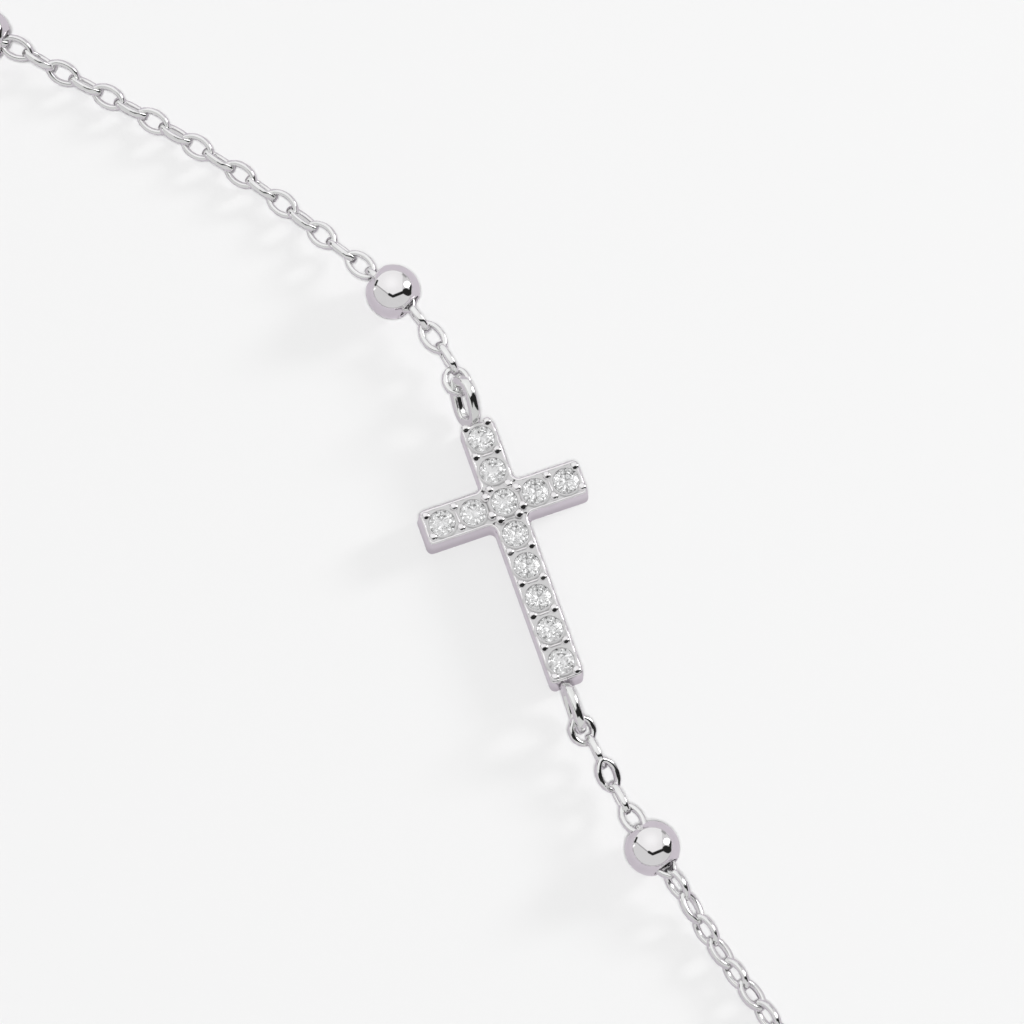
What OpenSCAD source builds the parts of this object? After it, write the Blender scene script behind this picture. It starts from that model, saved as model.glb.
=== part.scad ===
// Station-bead chain bracelet with a stone-set cross, laid out as a closed loop on a flat surface.
// The loop lies in XY with +Z up, and the origin is under the middle of the loop.

/* [Chain] */
// Distance between the centres of neighbouring links
link_pitch = 1.2; // [1.18:0.01:1.2]
// Thickness of the link wire
link_wire = 0.22; // [0.18:0.01:0.24]
// Width of a link between its wire centres
link_w = 0.87; // [0.84:0.01:0.88]
// Air between one link and the next
link_gap = 0.1; // [0.08:0.01:0.12]
// Number of links from the cross to the clasp
upper_links = 64; // [62:2:64]
// Number of links from the cross to the end ring
lower_links = 65; // [63:2:65]

/* [Beads] */
// Diameter of a ball bead
bead_d = 2.5; // [2.3:0.1:2.8]
// Diameter of the hole that the chain runs through
bead_hole_d = 1.24; // [1.22:0.01:1.3]
// Thickness of the bead's shell
bead_wall = 0.2; // [0.15:0.05:0.3]
// Number of links from one bead to the next
bead_step = 19; // [17:1:19]

/* [Cross] */
// Length of the arm above the middle stone, at the face
cross_top = 3.94; // [3.9:0.01:4.1]
// Length of the arm below the middle stone, at the face
cross_bottom = 8.92; // [8.8:0.01:9.1]
// Length of each side arm, at the face
cross_side = 3.78; // [3.7:0.01:3.9]
// Width of the arms, at the face
arm_w = 1.64; // [1.6:0.01:1.7]
// Thickness of the cross from its back to its rim
cross_t = 1.5; // [1.4:0.05:1.6]
// How far the walls lean out from the rim to the back
cross_draft = 0.07; // [0:0.01:0.1]
// Depth of the tray inside the rim
tray_depth = 0.12; // [0.1:0.01:0.2]
// Thickness of the end ring's wire
cross_ring_wire = 0.46; // [0.42:0.01:0.48]
// Radius of the end rings at the middle of their wire
cross_ring_r = 1.02; // [0.98:0.01:1.05]
// Angle of the cross in the loop
cross_turn = 19.25; // [19:0.05:19.5]

/* [Stones] */
// Diameter of a stone
stone_d = 1.22; // [1.16:0.01:1.24]
// Distance between stones along the long arm
stone_pitch = 1.58; // [1.56:0.01:1.6]
// Distance between stones along the side arms
side_pitch = 1.5; // [1.48:0.01:1.52]
// How much higher the middle stone sits
middle_lift = 0.1; // [0:0.01:0.15]
// Diameter of a ball prong
prong_d = 0.33; // [0.28:0.01:0.36]

/* [Clasp] */
// Radius of the clasp ring at the middle of its wire
clasp_r = 2.6; // [2.4:0.1:2.8]
// Thickness of the clasp ring's wire
clasp_wire = 1; // [0.9:0.1:1.1]
// Radius of the clasp's small eye at the middle of its wire
eye_r = 0.75; // [0.7:0.05:0.8]
// Thickness of the eye's wire
eye_wire = 0.4; // [0.35:0.05:0.45]
// Thickness of the end ring's wire
end_wire = 0.5; // [0.45:0.05:0.55]

/* [Hidden] */

silver = [0.86, 0.85, 0.87];
crystal = [0.92, 0.95, 0.97];
round_sides = 48;
wire_sides = 24;

// Link shape: two half rings joined by two straight sides
link_half_l = link_pitch / 2 + (link_wire + link_gap) / 2;
link_half_w = link_w / 2;
link_side = 2 * (link_half_l - link_half_w);
link_reach = link_half_w + link_wire / 2;

// Cross: the end rings stand upright with their lowest point level with the back
ring_overlap = 0.13;
ring_outer_r = cross_ring_r + cross_ring_wire / 2;
ring_z = ring_outer_r;
ring_lean = 12;
base_top = cross_top + cross_draft;
base_bottom = cross_bottom + cross_draft;
ring_top_y = base_top + ring_outer_r - ring_overlap;
ring_bottom_y = -(base_bottom + ring_outer_r - ring_overlap);

// The first link on each side sits this far past the middle of the ring's wire
link_past_ring = 0.13;
function from_cross(x, y) = [x * cos(cross_turn) - y * sin(cross_turn), x * sin(cross_turn) + y * cos(cross_turn)];
upper_start = from_cross(0, ring_top_y + cross_ring_r + link_past_ring);
lower_start = from_cross(0, ring_bottom_y - cross_ring_r - link_past_ring);

// Route of the chain from the top ring, round the loop and back to the bottom ring.
// Columns: x and y from the middle of the cross, and the heading of travel in degrees.
route_knots = [
    [upper_start.x, upper_start.y, 116],
    [-4.02, 8.88, 128],
    [-6.61, 11.33, 138.5],
    [-10.2, 14.4, 142],
    [-15.3, 17.85, 148.5],
    [-20.55, 20.75, 153],
    [-24.15, 22.4, 160],
    [-26.1, 23.08, 162],
    [-34.3, 14, 257],
    [-36.2, -1, 274],
    [-34.1, -14, 297],
    [-26.7, -28.5, 297],
    [-10, -38.7, 350],
    [9.8, -37.1, 391],
    [12.9, -35.2, 392],
    [12.8, -24.92, 486],
    [11.82, -23.57, 486],
    [9.68, -20.6, 483],
    [6.77, -16.2, 485],
    [5.82, -14.75, 481],
    [lower_start.x, lower_start.y, 478]];
samples = 24;

// A point on the smooth curve between two knots: a cubic that leaves and arrives along their headings,
// with the pull that makes it a round arc where both ends bend equally
function between(a, b, t) =
    let (p = [a.x, a.y], q = [b.x, b.y], pull = norm(q - p) / pow(cos((b[2] - a[2]) / 4), 2),
         u = pull * [cos(a[2]), sin(a[2])], v = pull * [cos(b[2]), sin(b[2])])
    (2 * t ^ 3 - 3 * t ^ 2 + 1) * p + (t ^ 3 - 2 * t ^ 2 + t) * u
    + (3 * t ^ 2 - 2 * t ^ 3) * q + (t ^ 3 - t ^ 2) * v;
last_knot = len(route_knots) - 1;
route_points = [
    for (k = [0 : last_knot - 1]) for (j = [0 : samples - 1]) between(route_knots[k], route_knots[k + 1], j / samples),
    [route_knots[last_knot].x, route_knots[last_knot].y]];
route_steps = [for (i = [1 : len(route_points) - 1]) norm(route_points[i] - route_points[i - 1])];
route_way = [for (i = 0, s = 0; i < len(route_points); s = s + (i < len(route_steps) ? route_steps[i] : 0), i = i + 1) s];
route_len = route_way[len(route_way) - 1];
way_to_x = [for (i = [0 : len(route_points) - 1]) [route_way[i], route_points[i].x]];
way_to_y = [for (i = [0 : len(route_points) - 1]) [route_way[i], route_points[i].y]];
function spot(s) = [lookup(s, way_to_x), lookup(s, way_to_y)];

// Each chain half counts its links outwards from the cross: 0 is the upper half, 1 the lower half
UPPER = 0;
LOWER = 1;
first_step_slack = [0.08, 0.15];
function side_way(side, station) = max(station * link_pitch - first_step_slack[side], 0);
function side_spot(side, s) = spot(side == UPPER ? s : route_len - s);
look = 0.3;
function side_heading(side, s) =
    let (d = side_spot(side, s + look) - side_spot(side, max(s - look, 0))) atan2(d.y, d.x);

// Roll of the first, third, fifth and further odd links about the chain, by station. Even links stand across them.
upper_roll = [[0, 10], [1, 3], [4, 2], [7, 13], [26, 13], [36, 0]];
lower_roll = [[0, 0], [2, -4], [4, -12], [7, -42], [9, -45], [24, -45], [40, 0]];
function roll_at(side, station) = lookup(station, side == UPPER ? upper_roll : lower_roll);

// Beads sit between links, at these stations
first_bead = [4.35, 5.35];
function bead_station(side, n) = first_bead[side] + n * bead_step;
bead_z = bead_d / 2;

// Clasp and end ring lie on the straight line between the last links
upper_end = side_way(UPPER, upper_links - 1);
lower_end = side_way(LOWER, lower_links - 1);
clasp_from = spot(upper_end);
clasp_to = spot(route_len - lower_end);
clasp_span = norm(clasp_to - clasp_from);
clasp_heading = atan2(clasp_to.y - clasp_from.y, clasp_to.x - clasp_from.x);
clasp_low_z = link_reach;
clasp_l = 2 * (eye_r + clasp_r);
end_z = 1.63;
clasp_tilt = asin((end_z - clasp_low_z) / clasp_l);
eye_near = link_half_l - (link_wire + eye_wire) / 2 - link_gap;
clasp_far = eye_near + clasp_l * cos(clasp_tilt);
end_near = clasp_far - (clasp_wire + end_wire) / 2 - link_gap;
end_far = clasp_span - link_half_l + (link_wire + end_wire) / 2 + link_gap;
end_r = (end_far - end_near) / 2;

// Height of the chain's middle: links rest on the surface, and rise to the beads, rings and clasp.
// A rise is level for a short way on each side of what it leads to, then falls off smoothly.
rest_gap = 0.01;
function rise(d, level, fall) = let (t = max(abs(d) - level, 0) / fall) t < 1 ? (1 + cos(180 * t)) / 2 : 0;
function rest_z(roll) = link_half_w * max(abs(cos(roll)), abs(sin(roll))) + link_wire / 2 + rest_gap;
ring_link_z = 1.05;
bead_level = 1;
bead_fall = 4.2;
ring_fall = 3.6;
end_fall = 7;
function link_z(side, s, roll) =
    let (low = rest_z(roll),
         at_beads = [for (n = [0 : 2]) rise(s - side_way(side, bead_station(side, n)), bead_level, bead_fall)],
         at_ring = rise(s, 0, ring_fall),
         at_end = side == LOWER ? rise(s - lower_end, 0, end_fall) : 0)
    low + (bead_z - low) * (at_beads[0] + at_beads[1] + at_beads[2]) + (ring_link_z - low) * at_ring
    + (end_z - low) * at_end;

// The origin is under the middle of the loop's outline
outline_spots = concat(
    [for (p = route_points) [p.x, p.y, link_reach]],
    [for (side = [UPPER, LOWER]) for (n = [0 : 2])
        let (p = side_spot(side, side_way(side, bead_station(side, n)))) [p.x, p.y, bead_d / 2]],
    [let (r = eye_near + 2 * eye_r + clasp_r)
        [clasp_from.x + r * cos(clasp_heading), clasp_from.y + r * sin(clasp_heading), clasp_r + clasp_wire / 2]]);
low_x = min([for (p = outline_spots) p[0] - p[2]]);
high_x = max([for (p = outline_spots) p[0] + p[2]]);
low_y = min([for (p = outline_spots) p[1] - p[2]]);
high_y = max([for (p = outline_spots) p[1] + p[2]]);
middle = [(low_x + high_x) / 2, (low_y + high_y) / 2, 0];

module ring(r, wire) {
    rotate_extrude($fn = round_sides) translate([r, 0]) circle(d = wire, $fn = wire_sides);
}

module half_ring(r, wire) {
    rotate_extrude(angle = 180, $fn = round_sides) translate([r, 0]) circle(d = wire, $fn = wire_sides);
}

// One oval link lying flat with its length along X
module link() {
    for (m = [0, 1]) rotate([0, 0, 180 * m]) {
        translate([link_side / 2, 0, 0]) rotate([0, 0, -90]) half_ring(link_half_w, link_wire);
        translate([-link_side / 2, link_half_w, 0]) rotate([0, 90, 0])
            cylinder(d = link_wire, h = link_side, $fn = wire_sides);
    }
}

module chain(side, count) {
    for (i = [0 : count - 1]) {
        s = side_way(side, i);
        roll = roll_at(side, i);
        p = side_spot(side, s);
        z = link_z(side, s, roll);
        ahead = link_z(side, s + look, roll);
        behind = link_z(side, max(s - look, 0), roll);
        climb = atan2(ahead - behind, s + look - max(s - look, 0));
        translate([p.x, p.y, z] - middle)
            rotate([roll + (i % 2) * 90, -climb, side_heading(side, s)]) link();
    }
}

module bead(side, n) {
    s = side_way(side, bead_station(side, n));
    p = side_spot(side, s);
    color(silver) translate([p.x, p.y, bead_z] - middle) rotate([0, 90, side_heading(side, s)]) difference() {
        sphere(d = bead_d, $fn = round_sides);
        sphere(d = bead_d - 2 * bead_wall, $fn = round_sides);
        cylinder(d = bead_hole_d, h = bead_d + 1, center = true, $fn = round_sides);
    }
}

// Cross outline, drawn inwards by inset: outer corners and inner fillets are arcs about fixed centres
corner_r = 0.32;
fillet_r = 0.3;
arc_steps = 4;
function arc_points(c, r, from, sweep) =
    [for (i = [0 : arc_steps]) c + r * [cos(from + sweep * i / arc_steps), sin(from + sweep * i / arc_steps)]];
function cross_outline(inset) =
    let (h = arm_w / 2, rc = corner_r - inset, rf = fillet_r + inset, k = h - corner_r, f = h + fillet_r)
    concat(
        arc_points([cross_side - corner_r, k], rc, 0, 90),
        arc_points([f, f], rf, 270, -90),
        arc_points([k, cross_top - corner_r], rc, 0, 90),
        arc_points([-k, cross_top - corner_r], rc, 90, 90),
        arc_points([-f, f], rf, 0, -90),
        arc_points([-cross_side + corner_r, k], rc, 90, 90),
        arc_points([-cross_side + corner_r, -k], rc, 180, 90),
        arc_points([-f, -f], rf, 90, -90),
        arc_points([-k, -cross_bottom + corner_r], rc, 180, 90),
        arc_points([k, -cross_bottom + corner_r], rc, 270, 90),
        arc_points([f, -f], rf, 180, -90),
        arc_points([cross_side - corner_r, -k], rc, 270, 90));

// Walls and rim of the casting. Columns: inset from the face outline and height.
rim_w = 0.12;
rim_round = 0.04;
slab_t = 0.3;
wall_rows = [
    [-cross_draft, slab_t],
    [0, cross_t - rim_round],
    [rim_round, cross_t],
    [rim_w, cross_t],
    [rim_w + rim_round, cross_t - tray_depth]];

// A closed body through the rows, with a fan from the middle at both ends
module cast_tray() {
    rings = [for (row = wall_rows) [for (p = cross_outline(row[0])) [p.x, p.y, row[1]]]];
    n = len(rings[0]);
    last = len(rings) - 1;
    points = concat([for (r = rings) each r], [[0, 0, wall_rows[0][1]], [0, 0, wall_rows[last][1]]]);
    walls = [for (k = [0 : last - 1]) for (i = [0 : n - 1]) let (j = (i + 1) % n)
        [k * n + i, (k + 1) * n + i, (k + 1) * n + j, k * n + j]];
    floor_fan = [for (i = [0 : n - 1]) [(last + 1) * n, i, (i + 1) % n]];
    tray_fan = [for (i = [0 : n - 1]) [(last + 1) * n + 1, last * n + (i + 1) % n, last * n + i]];
    polyhedron(points, concat(walls, floor_fan, tray_fan));
    linear_extrude(slab_t) polygon(cross_outline(-cross_draft));
}

// Stone places, from the top of the cross down and then from left to right
stone_spots = concat(
    [for (k = [2 : -1 : -5]) [0, k * stone_pitch]],
    [for (k = [-2, -1, 1, 2]) [k * side_pitch, 0]]);
girdle_z = cross_t - 0.03;
seat_d = stone_d + 0.06;
seat_depth = 0.62;
function stone_z(i) = girdle_z + (norm(stone_spots[i]) < 0.01 ? middle_lift : 0);

// Ball prongs: a pair beside each gap between stones, a pair past each end stone, eight round the middle
prong_side = 0.52;
prong_end = 0.62;
prong_z = cross_t + 0.01;
middle_prong_r = 0.87;
middle_prong_angle = 14;
long_prongs = concat(
    [2 * stone_pitch + prong_end, 1.5 * stone_pitch],
    [for (k = [1 : 4]) -(k + 0.5) * stone_pitch],
    [-5 * stone_pitch - prong_end]);
side_prongs = [1.5 * side_pitch, 2 * side_pitch + prong_end - 0.02];
prong_spots = concat(
    [for (y = long_prongs) for (m = [-1, 1]) [m * prong_side, y]],
    [for (x = side_prongs) for (m = [-1, 1]) for (v = [-1, 1]) [m * x, v * prong_side]]);
middle_prong_spots = [for (q = [45 : 90 : 315]) for (m = [-1, 1])
    middle_prong_r * [cos(q + m * middle_prong_angle), sin(q + m * middle_prong_angle)]];

module prong(top_z) {
    stem_z = cross_t - tray_depth - 0.2;
    translate([0, 0, stem_z]) cylinder(d = prong_d * 0.9, h = top_z - stem_z, $fn = wire_sides);
    translate([0, 0, top_z]) sphere(d = prong_d, $fn = wire_sides);
}

// The middle stone stands in a low round collar
collar_d = 1.62;
module cross_body() {
    difference() {
        union() {
            cast_tray();
            translate([0, 0, cross_t - 0.4]) cylinder(d = collar_d, h = 0.4 + middle_lift - 0.06, $fn = round_sides);
        }
        for (i = [0 : len(stone_spots) - 1])
            translate([stone_spots[i].x, stone_spots[i].y, stone_z(i) - seat_depth])
                cylinder(d = seat_d, h = seat_depth + 1, $fn = round_sides);
    }
}

module at_cross() {
    translate(-middle) rotate([0, 0, cross_turn]) children();
}

module cross_setting() {
    color(silver) at_cross() {
        cross_body();
        for (p = prong_spots) translate([p.x, p.y, 0]) prong(prong_z);
        for (p = middle_prong_spots) translate([p.x, p.y, 0]) prong(prong_z + middle_lift);
        translate([0, ring_top_y, ring_z]) rotate([0, 90 + ring_lean, 0]) ring(cross_ring_r, cross_ring_wire);
        translate([0, ring_bottom_y, ring_z]) rotate([0, 90, 0]) ring(cross_ring_r, cross_ring_wire);
    }
}

// Round brilliant about its girdle: table, star, kite and upper girdle facets, and a pointed pavilion
table_share = 0.56;
crown_share = 0.8;
pavilion_share = 0.28;
crown_h = 0.16 * stone_d;
girdle_h = 0.03 * stone_d;
pavilion_h = 0.42 * stone_d;
module brilliant() {
    r = stone_d / 2;
    table_r = r * table_share;
    crown_r = r * crown_share;
    low_r = r * pavilion_share;
    crown_z = girdle_h + (r - crown_r * cos(22.5)) * crown_h / (r - table_r);
    low_z = -pavilion_h + low_r * cos(22.5) * pavilion_h / r;
    table_ring = [for (k = [0 : 7]) [table_r * cos(45 * k), table_r * sin(45 * k), girdle_h + crown_h]];
    crown_ring = [for (k = [0 : 7]) [crown_r * cos(45 * k + 22.5), crown_r * sin(45 * k + 22.5), crown_z]];
    upper_ring = [for (k = [0 : 15]) [r * cos(22.5 * k), r * sin(22.5 * k), girdle_h]];
    lower_ring = [for (k = [0 : 15]) [r * cos(22.5 * k), r * sin(22.5 * k), 0]];
    pavilion_ring = [for (k = [0 : 7]) [low_r * cos(45 * k + 22.5), low_r * sin(45 * k + 22.5), low_z]];
    points = concat(table_ring, crown_ring, upper_ring, lower_ring, pavilion_ring, [[0, 0, -pavilion_h]]);
    faces = concat(
        [[for (k = [7 : -1 : 0]) k]],
        [for (k = [0 : 7]) [k, (k + 1) % 8, 8 + k]],
        [for (k = [0 : 7]) [k, 8 + k, 16 + 2 * k, 8 + (k + 7) % 8]],
        [for (k = [0 : 7]) [8 + k, 17 + 2 * k, 16 + 2 * k]],
        [for (k = [0 : 7]) [8 + k, 16 + (2 * k + 2) % 16, 17 + 2 * k]],
        [for (k = [0 : 15]) [16 + k, 16 + (k + 1) % 16, 32 + (k + 1) % 16, 32 + k]],
        [for (k = [0 : 7]) [48 + k, 32 + 2 * k, 33 + 2 * k]],
        [for (k = [0 : 7]) [48 + k, 33 + 2 * k, 32 + (2 * k + 2) % 16]],
        [for (k = [0 : 7]) [56, 48 + (k + 7) % 8, 32 + 2 * k, 48 + k]]);
    polyhedron(points, faces);
}

module stone(i) {
    color(crystal) at_cross() translate([stone_spots[i].x, stone_spots[i].y, stone_z(i)]) brilliant();
}

module chain_upper() {
    color(silver) chain(UPPER, upper_links);
}

module chain_lower() {
    color(silver) chain(LOWER, lower_links);
}

module at_clasp(along, z) {
    translate([clasp_from.x, clasp_from.y, 0] - middle) rotate([0, 0, clasp_heading]) translate([along, 0, z]) children();
}

// One plain ring with a small eye, lying low at the eye and raised where it holds the end ring
module clasp() {
    color(silver) at_clasp(eye_near, clasp_low_z) rotate([0, -clasp_tilt, 0]) {
        translate([eye_r, 0, 0]) ring(eye_r, eye_wire);
        translate([2 * eye_r + clasp_r, 0, 0]) ring(clasp_r, clasp_wire);
    }
}

module end_ring() {
    color(silver) at_clasp(end_near + end_r, end_z) rotate([90, 0, 0]) ring(end_r, end_wire);
}

cross_setting();
stone(0);  // stone_01
stone(1);  // stone_02
stone(2);  // stone_03
stone(3);  // stone_04
stone(4);  // stone_05
stone(5);  // stone_06
stone(6);  // stone_07
stone(7);  // stone_08
stone(8);  // stone_09
stone(9);  // stone_10
stone(10);  // stone_11
stone(11);  // stone_12
bead(UPPER, 0);  // bead_1
bead(UPPER, 1);  // bead_2
bead(UPPER, 2);  // bead_3
bead(LOWER, 0);  // bead_4
bead(LOWER, 1);  // bead_5
bead(LOWER, 2);  // bead_6
chain_upper();
chain_lower();
clasp();
end_ring();
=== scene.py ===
"""Looks of a silver bead-and-chain bracelet with a stone-set cross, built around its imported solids.

All sizes are worked out in millimetres in the solids' own frame and become metres when a mesh is made.
"""

import bmesh
import bpy
import numpy as np
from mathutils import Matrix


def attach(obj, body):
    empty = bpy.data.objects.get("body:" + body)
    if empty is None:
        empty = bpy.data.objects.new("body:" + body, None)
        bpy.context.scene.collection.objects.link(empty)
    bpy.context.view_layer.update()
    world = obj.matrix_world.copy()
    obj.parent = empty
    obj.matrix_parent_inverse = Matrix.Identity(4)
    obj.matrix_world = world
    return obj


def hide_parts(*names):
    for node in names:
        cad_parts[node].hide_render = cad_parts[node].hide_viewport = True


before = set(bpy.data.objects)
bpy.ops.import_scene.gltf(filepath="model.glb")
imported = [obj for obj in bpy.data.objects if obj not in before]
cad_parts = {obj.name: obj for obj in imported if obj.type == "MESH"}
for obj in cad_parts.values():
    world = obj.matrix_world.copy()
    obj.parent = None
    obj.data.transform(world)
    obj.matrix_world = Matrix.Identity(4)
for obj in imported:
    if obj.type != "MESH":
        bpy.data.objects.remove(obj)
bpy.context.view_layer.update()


# Cross casting: one cast silver tray with drafted walls and a bright-cut rim, bored seats for the stones
# between raised lips, and ball prongs pressed over the stones by hand. A ring is soldered on at each end.
# Like the chain and the beads, it is sterling silver with a bright rhodium finish.
CROSS_TURN = 19.25
LOOP_MIDDLE = np.array([-10.67, -8.18239, 0.0])
MM = 0.001


def turned(points, degrees):
    """Points turned about Z by an angle."""
    c, s = np.cos(np.radians(degrees)), np.sin(np.radians(degrees))
    points = np.asarray(points, float)
    return np.stack([points[..., 0] * c - points[..., 1] * s, points[..., 0] * s + points[..., 1] * c,
                     points[..., 2]], -1)


def from_cross(points):
    """Points beside the upright cross, taken to where the cross lies in the loop."""
    return turned(points, CROSS_TURN) - LOOP_MIDDLE


class Wire:
    """A shader socket that takes part in sums, so node maths reads like arithmetic."""

    def __init__(self, kit, socket):
        self.kit, self.socket = kit, socket

    def _math(self, operation, *terms):
        return self.kit.node("ShaderNodeMath", {"operation": operation},
                             **{str(i): t for i, t in enumerate(terms)})

    def __add__(self, other):
        return self._math("ADD", self, other)

    def __sub__(self, other):
        return self._math("SUBTRACT", self, other)

    def __rsub__(self, other):
        return self._math("SUBTRACT", other, self)

    def __mul__(self, other):
        return self._math("MULTIPLY", self, other)

    def __truediv__(self, other):
        return self._math("DIVIDE", self, other)

    def __pow__(self, other):
        return self._math("POWER", self, other)

    def at_most(self, other):
        return self._math("MINIMUM", self, other)

    def at_least(self, other):
        return self._math("MAXIMUM", self, other)

    __radd__, __rmul__ = __add__, __mul__


class Kit:
    """Node tree of one material or of the world, with one method that makes any node."""

    def __init__(self, owner):
        owner.use_nodes = True
        self.tree = owner.node_tree
        self.tree.nodes.clear()

    def node(self, kind, settings=None, out=0, **sockets):
        """Makes a node, sets its settings first and then its sockets by name or number."""
        made = self.tree.nodes.new(kind)
        for key, value in (settings or {}).items():
            setattr(made, key, value)
        for key, value in sockets.items():
            socket = made.inputs[int(key) if key.isdigit() else key.replace("_", " ")]
            if isinstance(value, Wire):
                self.tree.links.new(value.socket, socket)
            else:
                socket.default_value = value
        return Wire(self, made.outputs[out] if made.outputs else None)

    def vector(self, operation, *terms, out=0):
        """A Vector Math node on vectors or wires."""
        return self.node("ShaderNodeVectorMath", {"operation": operation}, out,
                         **{str(i): t for i, t in enumerate(terms)})

    def blend(self, mask, first, second):
        """Colour that goes from the first to the second with the mask."""
        first, second = (c if isinstance(c, Wire) else (*c, 1.0) for c in (first, second))
        return self.node("ShaderNodeMix", {"data_type": "RGBA"}, 2, **{"0": mask, "6": first, "7": second})

    def ramp(self, value, low, high):
        """Zero below low, one above high and smooth between."""
        return self.node("ShaderNodeMapRange", {"interpolation_type": "SMOOTHSTEP"}, Value=value,
                         From_Min=low, From_Max=high)


def silver_finish(name, tone, roughness, dent, scratch, painted_wall_shade=None):
    """Bright silver: small changes of tone and gloss from handling, faint dents, and hair-fine scratches.
    Walls below the face can take a painted shade, darker towards their foot, for the shaded table that they
    reflect."""
    cloud_scale, scratch_scales = 900.0, (9000.0, 1400.0, 5000.0)
    worn_tone, worn_roughness = 0.95, 0.03
    full_shade_below, no_shade_above, uneven = 0.0004, 0.00135, 0.0002
    material = bpy.data.materials.new(name)
    kit = Kit(material)
    place = kit.node("ShaderNodeTexCoord", out=3)
    cloud = kit.node("ShaderNodeTexNoise", Vector=place, Scale=cloud_scale, Detail=3.0)
    lines = kit.node("ShaderNodeTexNoise", Vector=kit.vector("MULTIPLY", place, scratch_scales),
                     Scale=1.0, Detail=4.0)
    worn = kit.ramp(cloud, 0.42, 0.75)
    colour = kit.blend(worn, tone, tuple(worn_tone * c for c in tone))
    # Painted shade: the walls grow darker towards their foot, standing in for the shaded table they
    # reflect.
    if painted_wall_shade:
        height = kit.node("ShaderNodeSeparateXYZ", out=2, Vector=place)
        shaded_foot = 1 - kit.ramp(height + cloud * uneven, full_shade_below, no_shade_above)
        colour = kit.blend(shaded_foot, colour, tuple(w * c for w, c in zip(painted_wall_shade, tone)))
    bumps = kit.node("ShaderNodeBump", Height=cloud * dent + lines * scratch, Strength=1.0, Distance=MM)
    shader = kit.node("ShaderNodeBsdfPrincipled", Base_Color=colour, Metallic=1.0,
                      Roughness=roughness + worn * worn_roughness, Normal=bumps)
    kit.node("ShaderNodeOutputMaterial", Surface=shader)
    return material


def make_piece(name, surfaces, *materials, sharp_from=None):
    """One mesh from surfaces on grids. Each surface is an array of points, copies by rows by columns, two
    flags that say whether its rows and its columns close on themselves, and the number of its material.
    Points are in millimetres."""
    weld, too_short = 2e-7, 1e-8
    verts, faces, finish, used = [], [], [], 0
    for points, close_rows, close_columns, number in surfaces:
        copies, rows, columns = points.shape[:3]
        index = np.arange(copies * rows * columns).reshape(copies, rows, columns) + used
        r = np.arange(rows if close_rows else rows - 1)
        c = np.arange(columns if close_columns else columns - 1)
        r0, c0 = np.meshgrid(r, c, indexing="ij")
        r1, c1 = (r0 + 1) % rows, (c0 + 1) % columns
        quads = np.stack([index[:, r0, c0], index[:, r0, c1], index[:, r1, c1], index[:, r1, c0]], -1)
        faces.append(quads.reshape(-1, 4))
        finish.append(np.full(len(faces[-1]), number))
        verts.append(points.reshape(-1, 3) * MM)
        used += copies * rows * columns
    mesh = bpy.data.meshes.new(name)
    mesh.from_pydata(np.vstack(verts), [], np.vstack(faces).tolist())
    mesh.polygons.foreach_set("material_index", np.concatenate(finish).astype(np.int32))
    work = bmesh.new()
    work.from_mesh(mesh)
    bmesh.ops.remove_doubles(work, verts=work.verts, dist=weld)
    bmesh.ops.dissolve_degenerate(work, edges=work.edges, dist=too_short)
    bmesh.ops.recalc_face_normals(work, faces=work.faces)
    work.to_mesh(mesh)
    work.free()
    mesh.shade_smooth()
    if sharp_from:
        mesh.set_sharp_from_angle(angle=np.radians(sharp_from))
    for material in materials:
        mesh.materials.append(material)
    piece = bpy.data.objects.new(name, mesh)
    bpy.context.scene.collection.objects.link(piece)
    return piece


def dress(piece, slot, *nodes):
    """Hides the solids that a piece stands for, and lets it ride on the bracelet's one body."""
    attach(piece, "root")
    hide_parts(*nodes)


def at_height(points, z):
    """Flat points lifted to one height."""
    return np.column_stack([points, np.full(len(points), z)])


FACE_TOP, FACE_BOTTOM, FACE_LEFT, FACE_RIGHT = 3.94, 8.86, 3.9, 3.81
LONG_HALF, ARM_HALF, CROSS_T = 0.81, 0.87, 1.5
CORNER_R, FILLET_R = 0.28, 0.3
STONE_PITCH, SIDE_PITCH, MIDDLE_LIFT = 1.58, 1.5, 0.1
ARM_DRAFT, END_DRAFT, LEFT_DRAFT = 0.04, 0.05, 0.09


def cross_outline(inset, draft=0.0, spacing=0.12, arc_steps=8):
    """Outline of the cross, drawn inwards by an inset: arcs about fixed centres joined by straight sides.
    The draft, one at the foot of the walls, moves the arms' sides and the ends out a little."""
    x, y, r, f = LONG_HALF, ARM_HALF + ARM_DRAFT * draft, CORNER_R, FILLET_R
    right, top = FACE_RIGHT + END_DRAFT * draft, FACE_TOP + END_DRAFT * draft
    left = FACE_LEFT + LEFT_DRAFT * draft
    arcs = [((right - r, y - r), 0, 90), ((x + f, y + f), 270, -90), ((x - r, top - r), 0, 90),
            ((r - x, top - r), 90, 90), ((-x - f, y + f), 0, -90), ((r - left, y - r), 90, 90),
            ((r - left, r - y), 180, 90), ((-x - f, -y - f), 90, -90), ((r - x, r - FACE_BOTTOM), 180, 90),
            ((x - r, r - FACE_BOTTOM), 270, 90), ((x + f, -y - f), 180, -90), ((right - r, r - y), 270, 90)]

    def arc(number, inward):
        """Points of one corner, on a circle about its fixed centre."""
        centre, first, sweep = arcs[number % len(arcs)]
        radius = r - inward if sweep > 0 else f + inward
        angle = np.radians(first + sweep * np.linspace(0, 1, arc_steps + 1))
        return np.array(centre) + radius * np.stack([np.cos(angle), np.sin(angle)], -1)

    points = []
    for number in range(len(arcs)):
        here, after = arc(number, inset), arc(number + 1, inset)
        steps = max(int(SIDE_LENGTHS[number] / spacing), 1)
        t = np.linspace(0, 1, steps + 1)[1:-1, None]
        points += [here, here[-1] * (1 - t) + after[0] * t]
    return np.vstack(points)


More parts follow.
